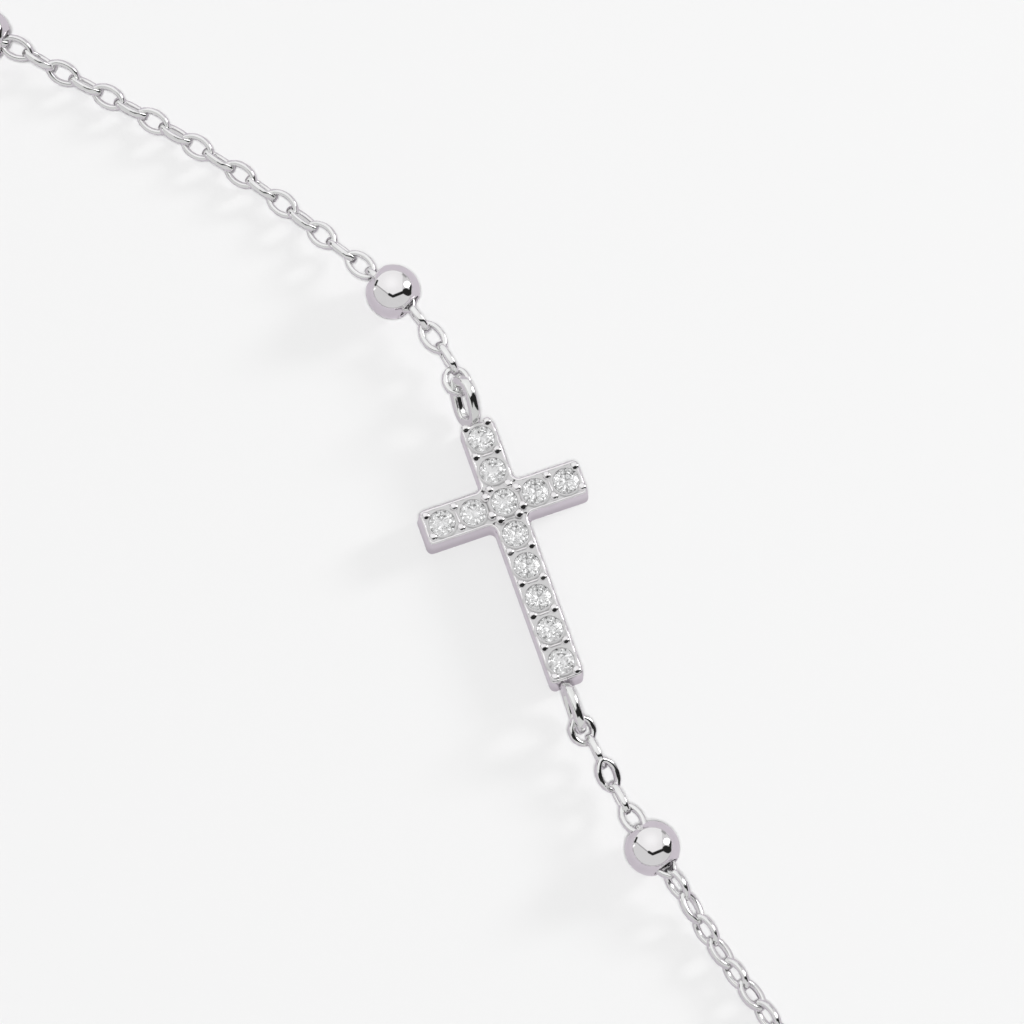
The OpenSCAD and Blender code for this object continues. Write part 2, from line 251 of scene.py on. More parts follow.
# Lengths of the twelve straight sides, and the tray's rows: inset from the face outline, height and draft,
# from the back round the wall and the narrow rim into the tray.
SIDE_LENGTHS = [2.4, 2.49, 1.06, 2.49, 2.51, 1.18, 2.51, 7.41, 1.06, 7.41, 2.4, 1.18]
TUB_ROWS = [(0.3, 0.0, 1), (0.03, 0.0, 1), (0.01, 0.012, 1), (0.0, 0.035, 1), (0.0, 0.07, 0.95),
            (0.0, 0.5, 0.6), (0.0, 1.0, 0.3), (0.0, 1.3, 0.1), (0.004, 1.36, 0), (0.014, 1.405, 0),
            (0.034, 1.443, 0), (0.056, 1.47, 0), (0.076, 1.487, 0), (0.092, 1.496, 0), (0.105, 1.499, 0),
            (0.125, 1.5, 0), (0.14, 1.498, 0), (0.152, 1.491, 0), (0.159, 1.478, 0), (0.162, 1.45, 0),
            (0.164, 1.3, 0), (0.17, 0.9, 0), (0.3, 0.9, 0)]
tub = np.stack([at_height(cross_outline(inset, draft), z) for inset, z, draft in TUB_ROWS])

# The lowest end is tucked in and rolls off, and the rim waves a little, as from polishing by hand.
FOOT_FROM, FOOT_RUN, FOOT_TUCK, FOOT_DROP = -8.0, 0.86, 0.14, 0.13
RIM_FROM, WAVE_HEIGHT = 1.3, 0.006
WAVES = ((7.1, 5.3, 1.2), (-4.7, 6.9, 0.4), (10.1, 9.3, 0.0))
near_foot = np.clip((FOOT_FROM - tub[..., 1]) / FOOT_RUN, 0, 1)
tub[..., 1] += FOOT_TUCK * near_foot ** 2 * np.clip(tub[..., 2] / CROSS_T, 0, 1) ** 3
roll_off = np.clip((near_foot - 0.5) / 0.3, 0, 1) ** 2
tub[..., 2] -= FOOT_DROP * roll_off * np.clip((tub[..., 2] - RIM_FROM) / 0.2, 0, 1)
wave = sum(np.sin(a * tub[..., 0] + b * tub[..., 1] + c) for a, b, c in WAVES)
tub[..., 2] += WAVE_HEIGHT * wave * np.clip((tub[..., 2] - RIM_FROM) / 0.15, 0, 1)
tub = np.concatenate([tub[:1] * 0, tub, tub[:1] * 0 + [0, 0, TUB_ROWS[-1][1]]])[None]

# Stones from the top to the foot, then along the arms, each in its own cell of the tray floor.
CELL_HALF, ARM_CELL_HALF, CELL_IN, CELL_FOOT = 0.75, 0.8, 0.09, -8.64
stone_spots = np.array([[0, k * STONE_PITCH] for k in range(2, -6, -1)]
                       + [[k * SIDE_PITCH, 0] for k in (-2, -1, 1, 2)])
stone_lifts = np.where(np.hypot(*stone_spots.T) < 0.01, MIDDLE_LIFT, 0.0)
tile_boxes = np.array(
    [[-CELL_HALF, 1.5 * STONE_PITCH, CELL_HALF, FACE_TOP - CELL_IN]]
    + [[-CELL_HALF, (k - 0.5) * STONE_PITCH, CELL_HALF, (k + 0.5) * STONE_PITCH] for k in range(1, -5, -1)]
    + [[-CELL_HALF, CELL_FOOT, CELL_HALF, -4.5 * STONE_PITCH],
       [CELL_IN - FACE_LEFT, -ARM_CELL_HALF, -1.5 * SIDE_PITCH, ARM_CELL_HALF],
       [-1.5 * SIDE_PITCH, -ARM_CELL_HALF, -0.5 * SIDE_PITCH, ARM_CELL_HALF],
       [0.5 * SIDE_PITCH, -ARM_CELL_HALF, 1.5 * SIDE_PITCH, ARM_CELL_HALF],
       [1.5 * SIDE_PITCH, -ARM_CELL_HALF, FACE_RIGHT - CELL_IN, ARM_CELL_HALF]])
SEAT_PROFILE = np.array([
    (0, 0.86), (0.16, 0.88), (0.3, 0.96), (0.48, 1.16), (0.6, 1.36), (0.622, 1.42), (0.622, 1.485),
    (0.612, 1.496), (0.607, 1.505), (0.612, 1.513), (0.626, 1.518), (0.65, 1.518), (0.68, 1.512),
    (0.71, 1.503), (0.735, 1.493), (0.755, 1.486)])
TRAY_Z, SEAT_UNDER = 1.48, 0.5


def seat_tiles(steps=72, out_rows=5):
    """Tray floor round each stone: a bored cup and raised lip on circles, then straight lines out to the
    edges of the stone's cell, down its sides and closed underneath."""
    angle = np.linspace(0, 2 * np.pi, steps, endpoint=False)
    way = np.stack([np.cos(angle), np.sin(angle)], -1)
    tiles = []
    for centre, box, lift in zip(stone_spots, tile_boxes, stone_lifts):
        cup = [at_height(centre + r * way, z + lift) for r, z in SEAT_PROFILE]
        room = np.where(way > 0, box[2:] - centre, centre - box[:2]) / np.maximum(np.abs(way), 1e-9)
        edge = centre + way * room.min(1, keepdims=True)
        lip = centre + SEAT_PROFILE[-1, 0] * way
        t = np.linspace(0, 1, out_rows + 1)[1:]
        flat = [at_height(lip * (1 - s) + edge * s, TRAY_Z) for s in t]
        under = [at_height(edge, SEAT_UNDER), at_height(centre + 0 * way, SEAT_UNDER)]
        tiles.append(np.stack(cup + flat + under))
    return np.stack(tiles)


def pushed_prong(spots, pressed, top_z, seed, radius=0.2, foot_z=1.2):
    """Ball prongs, each a dome pressed over its stone with a flat tool. The height is the lower of a sphere
    and a plane that leans to the setter's side, with a soft corner between; a shallow groove runs up the
    other half. Rows are circles about the prong's own axis, and every prong leans a little differently.
    Each is pressed by its own depth; a negative one leaves the ball round."""
    ball_r, down_lean, right_lean, soft = 0.27, 0.385, 0.12, 0.006
    groove, groove_half = 0.012, 0.022
    ball_vary, down_vary, right_vary, press_vary = 0.01, 0.025, 0.04, 0.004
    vary = np.random.default_rng(seed).normal(0, 1, (4, len(spots), 1, 1)).clip(-1.6, 1.6)
    share = np.sin(np.linspace(0, np.pi / 2, 13))[None, :, None]
    angle = np.linspace(0, 2 * np.pi, 48, endpoint=False)[None, None]
    x, y = radius * share * np.cos(angle), radius * share * np.sin(angle)
    turn = np.radians(-CROSS_TURN)
    to_setter, to_right = np.array([np.sin(turn), -np.cos(turn)]), np.array([np.cos(turn), np.sin(turn)])
    ball = ball_r + ball_vary * vary[0]
    dome = np.sqrt(ball ** 2 - (radius * share) ** 2) - ball
    down, right = down_lean + down_vary * vary[1], right_lean + right_vary * vary[2]
    slant = -down * (x * to_setter[0] + y * to_setter[1]) - right * (x * to_right[0] + y * to_right[1])
    peak = ball * np.sqrt(1 + down ** 2 + right ** 2) - ball
    plane = slant + peak - np.asarray(pressed)[:, None, None] - press_vary * vary[3]
    z = top_z - soft * np.log(np.exp(-dome / soft) + np.exp(-plane / soft))
    away = -(x * to_setter[0] + y * to_setter[1])
    aside = x * to_right[0] + y * to_right[1]
    z = z - groove * np.exp(-(aside / groove_half) ** 2) * np.clip((away - 0.01) / 0.03, 0, 1)
    shape = np.stack([x + 0 * z, y + 0 * z, z], -1)
    edge = shape[:, -1:]
    centre = edge.mean(2, keepdims=True) * [1, 1, 0]
    spread = edge[..., :2] - centre[..., :2]
    under = [np.concatenate([spread * k + centre[..., :2], edge[..., 2:] - drop], -1)
             for k, drop in ((1.0, 0.03), (0.96, 0.07), (0.86, 0.11))]
    stem = [np.concatenate([spread * k + centre[..., :2], np.full_like(edge[..., 2:], foot_z)], -1)
            for k in (0.8, 0.0)]
    shape = np.concatenate([shape] + under + stem, 1)
    return shape + at_height(spots, 0.0)[:, None, None]


def ridges(spots, crosswise, half_l=0.31, half_w=0.06, top=0.05, base_z=1.49):
    """Bright ridges left between the bored seats: half of a squashed ball on a shallow foot, one per
    spot, lying along the cross or crosswise."""
    up = np.linspace(0, np.pi / 2, 7)[None, :, None]
    around = np.linspace(0, 2 * np.pi, 32, endpoint=False)[None, None]
    long_way, short_way = half_l * np.cos(up) * np.cos(around), half_w * np.cos(up) * np.sin(around)
    turn = np.asarray(crosswise, float)[:, None, None]
    shape = np.stack([long_way * (1 - turn) + short_way * turn, short_way * (1 - turn) + long_way * turn,
                      base_z + top * np.sin(up) + 0 * around + 0 * turn], -1)
    return shape + at_height(spots, 0.0)[:, None, None]


RING_OUT, RING_SUNK, WALL_OUT, CAST_TOP, CAST_FOOT = 1.25, 0.13, 0.07, 3.94, 8.92
RING_TOP_Y = CAST_TOP + WALL_OUT + RING_OUT - RING_SUNK
RING_BOTTOM_Y = -(CAST_FOOT + WALL_OUT + RING_OUT - RING_SUNK)


def end_ring_of_cross(y, lean, pitch, yaw, twist, aside, wide,
                      half_l=1.0, half_h=0.72, thick=0.45, power=2.7, section_power=3.2):
    """Soldered oval ring standing in line with the cross: a squared ellipse of wire, its section another
    one set across the line and twisted about it, leaned to one side, tipped to the setter and turned."""
    t = np.linspace(0, 2 * np.pi, 96, endpoint=False)[:, None]
    w = np.linspace(0, 2 * np.pi, 32, endpoint=False)[None]

    def rounded(value, exponent):
        """Keeps the sign and raises the size to a power."""
        return np.sign(value) * np.abs(value) ** exponent

    line_y, line_z = half_l * rounded(np.cos(t), 2 / power), half_h * rounded(np.sin(t), 2 / power)
    out_y, out_z = rounded(np.cos(t), 2 - 2 / power) / half_l, rounded(np.sin(t), 2 - 2 / power) / half_h
    size = np.hypot(out_y, out_z)
    sideways = rounded(np.sin(w), 2 / section_power) * wide / 2
    radial = rounded(np.cos(w), 2 / section_power) * thick / 2
    a = np.radians(twist)
    sideways, radial = sideways * np.cos(a) + radial * np.sin(a), radial * np.cos(a) - sideways * np.sin(a)
    ring = np.stack([sideways + 0 * t, line_y + radial * out_y / size, line_z + radial * out_z / size], -1)
    a, b = np.radians(lean), np.radians(pitch)
    ring = np.stack([ring[..., 0] * np.cos(a) + ring[..., 2] * np.sin(a), ring[..., 1],
                     ring[..., 2] * np.cos(a) - ring[..., 0] * np.sin(a)], -1)
    ring = np.stack([ring[..., 0], ring[..., 1] * np.cos(b) - ring[..., 2] * np.sin(b),
                     ring[..., 1] * np.sin(b) + ring[..., 2] * np.cos(b)], -1)
    return (turned(ring, yaw) + [aside, y, RING_OUT])[None]


# Prongs stand in pairs between the stones, a little off the line as they were pushed. The depth by which
# each is pressed goes with its spot; the lowest left one was left a plain ball.
PRONG_SIDE, PRONG_END, PRONG_ABOVE = 0.52, 0.62, 0.1
PAIR_LEFT, PAIR_UP, ARM_PAIR_UP, ARM_END_IN = 0.01, 0.07, 0.03, 0.02
PRONG_SEED, MIDDLE_SEED = 5, 6
MIDDLE_REACH, MIDDLE_SPREAD = 0.87, 14
LONG_PRESSED = [0.034] * 12 + [-0.2, 0.02]
ARM_PRESSED = [0.012, 0.016, 0.006, 0.022, 0.014, 0.02, 0.008, 0.024]
MIDDLE_PRESSED = [0.006, 0.008, 0.016, 0.01, 0.012, 0.028, 0.034, 0.034]
top_row, foot_row = 2 * STONE_PITCH + PRONG_END, -5 * STONE_PITCH - PRONG_END
long_rows = [top_row, 1.5 * STONE_PITCH] + [-(k + 0.5) * STONE_PITCH for k in (1, 2, 3, 4)]
side_rows = [1.5 * SIDE_PITCH, 2 * SIDE_PITCH + PRONG_END - ARM_END_IN]
prong_spots = np.array([[m * PRONG_SIDE - PAIR_LEFT, y + PAIR_UP] for y in long_rows for m in (-1, 1)]
                       + [[m * PRONG_SIDE, foot_row] for m in (-1, 1)]
                       + [[m * x, v * PRONG_SIDE + ARM_PAIR_UP]
                          for x in side_rows for m in (-1, 1) for v in (-1, 1)])
round_middle = np.radians([q + m * MIDDLE_SPREAD for q in (45, 135, 225, 315) for m in (-1, 1)])
middle_spots = MIDDLE_REACH * np.column_stack([np.cos(round_middle), np.sin(round_middle)])
ridge_spots = np.array([[0, k * STONE_PITCH] for k in (1.5, -1.5, -2.5, -3.5, -4.5)]
                       + [[k * SIDE_PITCH, 0] for k in (-1.5, 1.5)])
prongs = pushed_prong(prong_spots, LONG_PRESSED + ARM_PRESSED, CROSS_T + PRONG_ABOVE, PRONG_SEED)
middle_prongs = pushed_prong(middle_spots, MIDDLE_PRESSED, CROSS_T + MIDDLE_LIFT + PRONG_ABOVE,
                             MIDDLE_SEED)
top_ring = end_ring_of_cross(RING_TOP_Y, lean=25, pitch=25, yaw=-5.5, twist=-3, aside=-0.12, wide=0.48)
foot_ring = end_ring_of_cross(RING_BOTTOM_Y, lean=4, pitch=19, yaw=0, twist=16, aside=-0.2, wide=0.44)

SILVER_TONE = (0.87, 0.855, 0.865)
# The cast silver's walls carry a painted shade, darker towards their foot.
cast_silver = silver_finish("cast_silver", SILVER_TONE, 0.06, 0.003, 0.0006, painted_wall_shade=(0.75, 0.735, 0.75))
# The tray floor and seats are satin, rougher than the rest, and toned darker: a painted shade in the
# recesses.
satin_shaded_recess = silver_finish("satin_shaded_recess", (0.65, 0.645, 0.648), 0.3, 0.006, 0.001)
ring_silver = silver_finish("ring_silver", (0.85, 0.857, 0.846), 0.05, 0.003, 0.0006)
casting = make_piece("cross_casting", [
    (from_cross(tub), False, True, 0), (from_cross(seat_tiles()), False, True, 1),
    (from_cross(prongs), False, True, 0), (from_cross(middle_prongs), False, True, 0),
    (from_cross(ridges(ridge_spots, [0, 0, 0, 0, 0, 1, 1])), False, True, 0),
    (from_cross(top_ring), True, True, 2), (from_cross(foot_ring), True, True, 2)],
    cast_silver, satin_shaded_recess, ring_silver, sharp_from=50)
dress(casting, "silver", "cross_setting")


# Stones: round brilliants of clear cubic zirconia, each held in its bored seat by the ball prongs. The
# kites and upper girdle facets take a rougher polish and a painted shade, a darker tint than the rest.
def brilliant(diameter=1.22, table=0.56, crown=0.8, low=0.28):
    """Brilliant cut: table, stars, kites, upper girdle facets, girdle and pavilion, as flat faces.
    Rings of 8 or 16 corners; the kite corners are set so that each kite is flat."""
    r, girdle, crown_h, depth = diameter / 2, 0.03 * diameter, 0.16 * diameter, 0.42 * diameter
    flat = np.cos(np.radians(22.5))
    eighth, sixteenth = np.radians(45 * np.arange(8)), np.radians(22.5 * np.arange(16))

    def corners(radius, z, angle):
        """Points at one radius and height."""
        return np.column_stack([radius * np.cos(angle), radius * np.sin(angle), np.full(len(angle), z)])

    points = np.vstack([
        corners(table * r, girdle + crown_h, eighth),
        corners(crown * r, girdle + (1 - crown * flat) * crown_h / (1 - table), eighth + np.radians(22.5)),
        corners(r, girdle, sixteenth), corners(r, 0, sixteenth),
        corners(low * r, -depth + low * flat * depth, eighth + np.radians(22.5)), [[0, 0, -depth]]])
    k = np.arange(8)
    n, before = (k + 1) % 8, (k + 7) % 8
    g = np.arange(16)
    facets = [list(range(8))]
    for group in (
            [k, 8 + k, n], [k, 8 + before, 16 + 2 * k, 8 + k], [8 + k, 16 + 2 * k, 17 + 2 * k],
            [8 + k, 17 + 2 * k, 16 + (2 * k + 2) % 16],
            [16 + g, 32 + g, 32 + (g + 1) % 16, 16 + (g + 1) % 16],
            [48 + k, 33 + 2 * k, 32 + 2 * k], [48 + k, 32 + (2 * k + 2) % 16, 33 + 2 * k],
            [56 + 0 * k, 48 + k, 32 + 2 * k, 48 + before]):
        facets += np.column_stack(group).tolist()
    return points, facets


def stone_finish(name, dim_tint, clear, rough_from, rough_by):
    """Clear stone: refracting, with small changes of tint and of polish. Low tints give a painted shade."""
    material = bpy.data.materials.new(name)
    kit = Kit(material)
    place = kit.node("ShaderNodeTexCoord", out=3)
    polish = kit.node("ShaderNodeTexNoise", Vector=place, Scale=6000.0, Detail=2.0)
    kit.node("ShaderNodeOutputMaterial", Surface=kit.node(
        "ShaderNodeBsdfPrincipled", Base_Color=kit.blend(polish, dim_tint, clear),
        Roughness=polish * rough_by + rough_from, IOR=2.1, Transmission_Weight=0.95))
    return material


clear_stone = stone_finish("clear_stone", (0.94, 0.945, 0.95), (0.99, 0.99, 0.99), 0.0, 0.012)
# The crown's kites and upper girdle facets get a darker tint than the clear stone, a painted shade, as well
# as a rougher polish.
rougher_shaded_crown = stone_finish("rougher_shaded_crown", (0.65, 0.65, 0.655), (0.73, 0.73, 0.73), 0.045, 0.06)
FIRST_KITE, FIRST_GIRDLE_FACET = 9, 33
STONE_SPIN, STONE_SUNK = 7.0, 0.03

points, facets = brilliant()
rougher_shaded_facets = np.zeros(len(facets), np.int32)
rougher_shaded_facets[FIRST_KITE:FIRST_GIRDLE_FACET] = 1
for number, (centre, lift) in enumerate(zip(stone_spots, stone_lifts)):
    name = "stone_%02d" % (number + 1)
    mesh = bpy.data.meshes.new("cut_" + name)
    placed = turned(points, STONE_SPIN * number) + [*centre, CROSS_T - STONE_SUNK + lift]
    mesh.from_pydata(from_cross(placed) * MM, [], facets)
    work = bmesh.new()
    work.from_mesh(mesh)
    bmesh.ops.recalc_face_normals(work, faces=work.faces)
    work.to_mesh(mesh)
    work.free()
    mesh.materials.append(clear_stone)
    mesh.materials.append(rougher_shaded_crown)
    mesh.polygons.foreach_set("material_index", rougher_shaded_facets)
    stone = bpy.data.objects.new("cut_" + name, mesh)
    bpy.context.scene.collection.objects.link(stone)
    dress(stone, "stone", name)


# Chain: drawn silver wire bent into oval links, each soldered shut through the last one, with the wire
# pressed a little square and the shoulders cut flat so that they flash. It is one closed loop laid on a
# flat surface, so every link and bead takes its place from one route: knots of x, y and heading.
UPPER, LOWER = 0, 1
RING_R, LINK_PAST_RING = 1.02, 0.13
upper_start = turned([0, RING_TOP_Y + RING_R + LINK_PAST_RING, 0], CROSS_TURN)
lower_start = turned([0, RING_BOTTOM_Y - RING_R - LINK_PAST_RING, 0], CROSS_TURN)
KNOTS = np.array([
    [upper_start[0], upper_start[1], 116], [-4.02, 8.88, 128], [-6.61, 11.33, 138.5], [-10.2, 14.4, 142],
    [-15.3, 17.85, 148.5], [-20.55, 20.75, 153], [-24.15, 22.4, 160], [-26.1, 23.08, 162],
    [-34.3, 14, 257], [-36.2, -1, 274], [-34.1, -14, 297], [-26.7, -28.5, 297], [-10, -38.7, 350],
    [9.8, -37.1, 391], [12.9, -35.2, 392], [12.8, -24.92, 486], [11.82, -23.57, 486], [9.68, -20.6, 483],
    [6.77, -16.2, 485], [5.82, -14.75, 481], [lower_start[0], lower_start[1], 478]])


def route_through(knots, samples=24):
    """Cubic curves from knot to knot that leave and arrive along each heading. The pull at both ends is
    the straight distance over the squared cosine of a quarter of the bend, which follows a round arc."""
    start, end = knots[:-1, None, :2], knots[1:, None, :2]
    leave, arrive = np.radians(knots[:-1, None, 2]), np.radians(knots[1:, None, 2])
    pull = np.linalg.norm(end - start, axis=-1) / np.cos((arrive - leave) / 4) ** 2
    t = np.linspace(0, 1, samples, endpoint=False)[None, :, None]
    out = pull[..., None] * np.stack([np.cos(leave), np.sin(leave)], -1)
    into = pull[..., None] * np.stack([np.cos(arrive), np.sin(arrive)], -1)
    curve = ((2 * t**3 - 3 * t**2 + 1) * start + (t**3 - 2 * t**2 + t) * out
             + (3 * t**2 - 2 * t**3) * end + (t**3 - t**2) * into)
    return np.vstack([curve.reshape(-1, 2), knots[-1:, :2]])


route = route_through(KNOTS)
route_way = np.concatenate([[0], np.cumsum(np.linalg.norm(np.diff(route, axis=0), axis=1))])
ROUTE_LEN = route_way[-1]

# Along the chain: distance from link to link, slack at the first link of each half, and how far ahead and
# behind a heading is read.
PITCH = 1.2
FIRST_SLACK = (0.08, 0.15)
LOOK = 0.3


def way_out(side, station):
    """Distance from the cross's ring to a station, counted in links."""
    return np.maximum(np.asarray(station, float) * PITCH - FIRST_SLACK[side], 0)


def spot(side, way):
    """Place on the route at a distance from the cross, on the upper or the lower side."""
    along = way if side == UPPER else ROUTE_LEN - way
    x, y = np.interp(along, route_way, route[:, 0]), np.interp(along, route_way, route[:, 1])
    return np.stack([x, y], -1)


def heading(side, way):
    """Direction of the chain away from the cross, in degrees."""
    d = spot(side, way + LOOK) - spot(side, np.maximum(way - LOOK, 0))
    return np.degrees(np.arctan2(d[..., 1], d[..., 0]))


# Stations of the beads, numbers of links, and how far the links are rolled about the chain: stations with
# degrees. Links rest on the surface, with a little room for their broad wire, and rise to the beads, the
# rings and the clasp.
BEAD_STATIONS = ((4.35, 23.35, 42.35), (5.35, 24.35, 43.35))
LINK_COUNTS = (64, 65)
ROLLS = (([0, 1, 4, 6, 9, 26, 36], [10, 3, 2, -16, -28, -28, 0]),
         ([0, 2, 4, 7, 9, 24, 40], [0, -4, -12, -35, -38, -38, 0]))
BEAD_R = 1.25
LINK_HALF_L, LINK_HALF_W, LINK_WIRE = 0.76, 0.435, 0.22
END_Z = 1.63
REST_ROOM = 0.05
RING_LINK_Z, RING_FALL, BEAD_LEVEL, BEAD_FALL, END_FALL = 1.05, 3.6, 1, 4.2, 7
lower_end = way_out(LOWER, LINK_COUNTS[LOWER] - 1)


def rise(distance, level, fall):
    """One near what the chain rises to, then a smooth fall to zero: half a cosine wave."""
    t = np.clip((np.abs(distance) - level) / fall, 0, 1)
    return (1 + np.cos(np.pi * t)) / 2


def link_z(side, way, roll):
    """Resting height of a rolled link, plus a rise at the ring, at each bead and at the clasp."""
    spin = np.radians(roll)
    low = LINK_HALF_W * np.maximum(np.abs(np.cos(spin)), np.abs(np.sin(spin))) + LINK_WIRE / 2 + REST_ROOM
    z = low + (RING_LINK_Z - low) * rise(way, 0, RING_FALL)
    for station in BEAD_STATIONS[side]:
        z = z + (BEAD_R - low) * rise(way - way_out(side, station), BEAD_LEVEL, BEAD_FALL)
    if side == LOWER:
        z = z + (END_Z - low) * rise(way - lower_end, 0, END_FALL)
    return z


def axes_of(roll, climb, head):
    """Rotation matrices that roll about the chain, then tip up, then turn to the heading."""
    a, b, c = np.radians(roll), np.radians(-climb), np.radians(head)
    zero, one = np.zeros_like(a), np.ones_like(a)

    def matrices(*terms):
        """One 3 by 3 matrix per link, from its nine terms."""
        return np.stack(terms, -1).reshape(a.shape + (3, 3))

    about_x = matrices(one, zero, zero, zero, np.cos(a), -np.sin(a), zero, np.sin(a), np.cos(a))
    about_y = matrices(np.cos(b), zero, np.sin(b), zero, one, zero, -np.sin(b), zero, np.cos(b))
    about_z = matrices(np.cos(c), -np.sin(c), zero, np.sin(c), np.cos(c), zero, zero, zero, one)
    return about_z @ about_y @ about_x


def oval(count, half_l, half_w):
    """Centre line of a link: four arcs that run on smoothly, their centres on a 3-4-5 triangle. Returns the
    points and the outward direction at each."""
    turn = np.linspace(0, 2 * np.pi, count, endpoint=False)
    unit = (half_l - half_w) / 2
    split = np.arctan2(4, 3)
    folded = np.abs((turn + np.pi / 2) % np.pi - np.pi / 2)
    on_end = folded <= split
    radius = np.where(on_end, half_w - unit, half_w + 4 * unit)
    centre_x = np.where(on_end, 3 * unit * np.sign(np.cos(turn)), 0)
    centre_y = np.where(on_end, 0, -4 * unit * np.sign(np.sin(turn)))
    out = np.stack([np.cos(turn), np.sin(turn)], -1)
    return np.stack([centre_x, centre_y], -1) + radius[:, None] * out, out


SHOULDER_CUT, CUT_DEPTH = np.array([0.62, 0.62, 0.48]), 0.035


def link_surface(around=44, across=16, half_l=0.75, half_w=0.435, wide=0.26, thick=0.33, power=3.2):
    """A squared wire section, a rounded box to a power, carried round the oval; then each of the eight
    shoulders is pressed flat against a slanting plane."""
    line, out = oval(around, half_l, half_w)
    w = np.linspace(0, 2 * np.pi, across, endpoint=False)
    push = np.sign(np.cos(w)) * np.abs(np.cos(w)) ** (2 / power) * wide / 2
    lift = np.sign(np.sin(w)) * np.abs(np.sin(w)) ** (2 / power) * thick / 2
    shape = np.concatenate([line[:, None] + push[None, :, None] * out[:, None],
                            np.broadcast_to(lift[None, :, None], (around, across, 1))], -1)
    for corner in np.ndindex(2, 2, 2):
        cut = SHOULDER_CUT * (2 * np.array(corner) - 1)
        cut /= np.linalg.norm(cut)
        depth = shape @ cut
        over = np.maximum(depth - (depth.max() - CUT_DEPTH), 0)
        shape = shape - over[..., None] * cut
    return shape


# The first link of each half is a rounder ring. Below the cross, that ring and the second one after it are
# of squarer wire, and hang from the cross's ring at their own angles and places.
FIRST_LINK, FIRST_UPPER_MOVE = {"half_l": 0.62, "half_w": 0.53}, [-0.12, -0.1, 0]
HANGING, SQUARE_WIRE = [0, 2], 5
HANGING_CLIMB, HANGING_ROLL, HANGING_MOVE = (-22, -24), (-14, -18), [[-0.17, 0, 0.1], [0, 0, 0.04]]
ROLL_ASKEW, CLIMB_ASKEW, ASKEW_SEED = 4, 2.5, 31


def chain_surface(side):
    """All links of one half: the same link rolled, tipped and turned to its place on the route. Each lies a
    little askew, and the first ones hang from the cross's rings."""
    station = np.arange(LINK_COUNTS[side])
    way = way_out(side, station)
    roll = np.interp(station, *ROLLS[side])
    z = link_z(side, way, roll)
    back = np.maximum(way - LOOK, 0)
    climb = link_z(side, way + LOOK, roll) - link_z(side, back, roll)
    climb = np.degrees(np.arctan2(climb, way + LOOK - back))
    askew = np.random.default_rng(ASKEW_SEED + side).normal(0, 1, (2, len(station))).clip(-1.8, 1.8)
    roll = roll + ROLL_ASKEW * askew[0]
    climb = climb + CLIMB_ASKEW * askew[1]
    centre = np.column_stack([spot(side, way), z]) - LOOP_MIDDLE
    shape = np.repeat(link_surface()[None], len(station), 0)
    shape[0] = link_surface(**FIRST_LINK)
    if side == LOWER:
        shape[HANGING] = link_surface(power=SQUARE_WIRE, **FIRST_LINK), link_surface(power=SQUARE_WIRE)
        climb[HANGING], roll[HANGING] = HANGING_CLIMB, HANGING_ROLL
        centre[HANGING] += HANGING_MOVE
    else:
        centre[0] += FIRST_UPPER_MOVE
    axes = axes_of(roll + 90 * (station % 2), climb, heading(side, way))
    return np.einsum("kij,krcj->krci", axes, shape) + centre[:, None, None]


drawn_silver = silver_finish("drawn_silver", (0.845, 0.845, 0.843), 0.06, 0.0025, 0.0006)
for side, name in ((UPPER, "chain_upper"), (LOWER, "chain_lower")):
    links = make_piece(name + "_links", [(chain_surface(side), True, True, 0)], drawn_silver)
    dress(links, "silver", name)


# Beads: small hollow balls of sterling silver, pressed in halves, soldered and drilled through. The edge
# of each hole is burnished to a round lip, and the ball is threaded on the chain.
LIP_FROM_AXIS, LIP_Z, LIP_R = 0.665, 0.982, 0.064


def turned_profile(profile, steps):
    """A closed or open profile of radius and height, spun about Z: rows follow the profile."""
    angle = np.linspace(0, 2 * np.pi, steps, endpoint=False)
    profile = np.asarray(profile, float)
    return np.stack([profile[:, :1] * np.cos(angle), profile[:, :1] * np.sin(angle),
                     np.repeat(profile[:, 1:2], steps, 1)], -1)


def bead_profile(radius=BEAD_R, bore=0.6, rim=0.742, wall=0.2):
    """Closed wall section: outer arc, fine groove and half-round lip at the hole, bore, inner arc, and the
    other hole the same."""
    top = np.arcsin(rim / radius)
    outer = np.linspace(top, np.pi - top, 56)
    outer = np.column_stack([radius * np.sin(outer), radius * np.cos(outer)])
    inner_r = radius - wall
    low = np.arcsin(bore / inner_r)
    inner = np.linspace(np.pi - low, low, 24)
    inner = np.column_stack([inner_r * np.sin(inner), inner_r * np.cos(inner)])
    turn = np.radians(np.linspace(-10, 190, 11))
    lips = np.column_stack([LIP_FROM_AXIS + LIP_R * np.cos(turn), LIP_Z + LIP_R * np.sin(turn)])
    return np.vstack([outer, lips * [1, -1], inner, lips[::-1]])


bright_silver = silver_finish("bright_silver", SILVER_TONE, 0.05, 0.0025, 0.0004)
ball = turned_profile(bead_profile(), 96)[..., [2, 1, 0]]
for side in (UPPER, LOWER):
    for number, station in enumerate(BEAD_STATIONS[side]):
        name = "bead_%d" % (side * 3 + number + 1)
        way = way_out(side, station)
        centre = np.array([*spot(side, way), BEAD_R]) - LOOP_MIDDLE
        placed = turned(ball, float(heading(side, way))) + centre
        bead = make_piece("ball_" + name, [(placed[None], True, True, 0)], bright_silver, sharp_from=50)
        dress(bead, "silver", name)


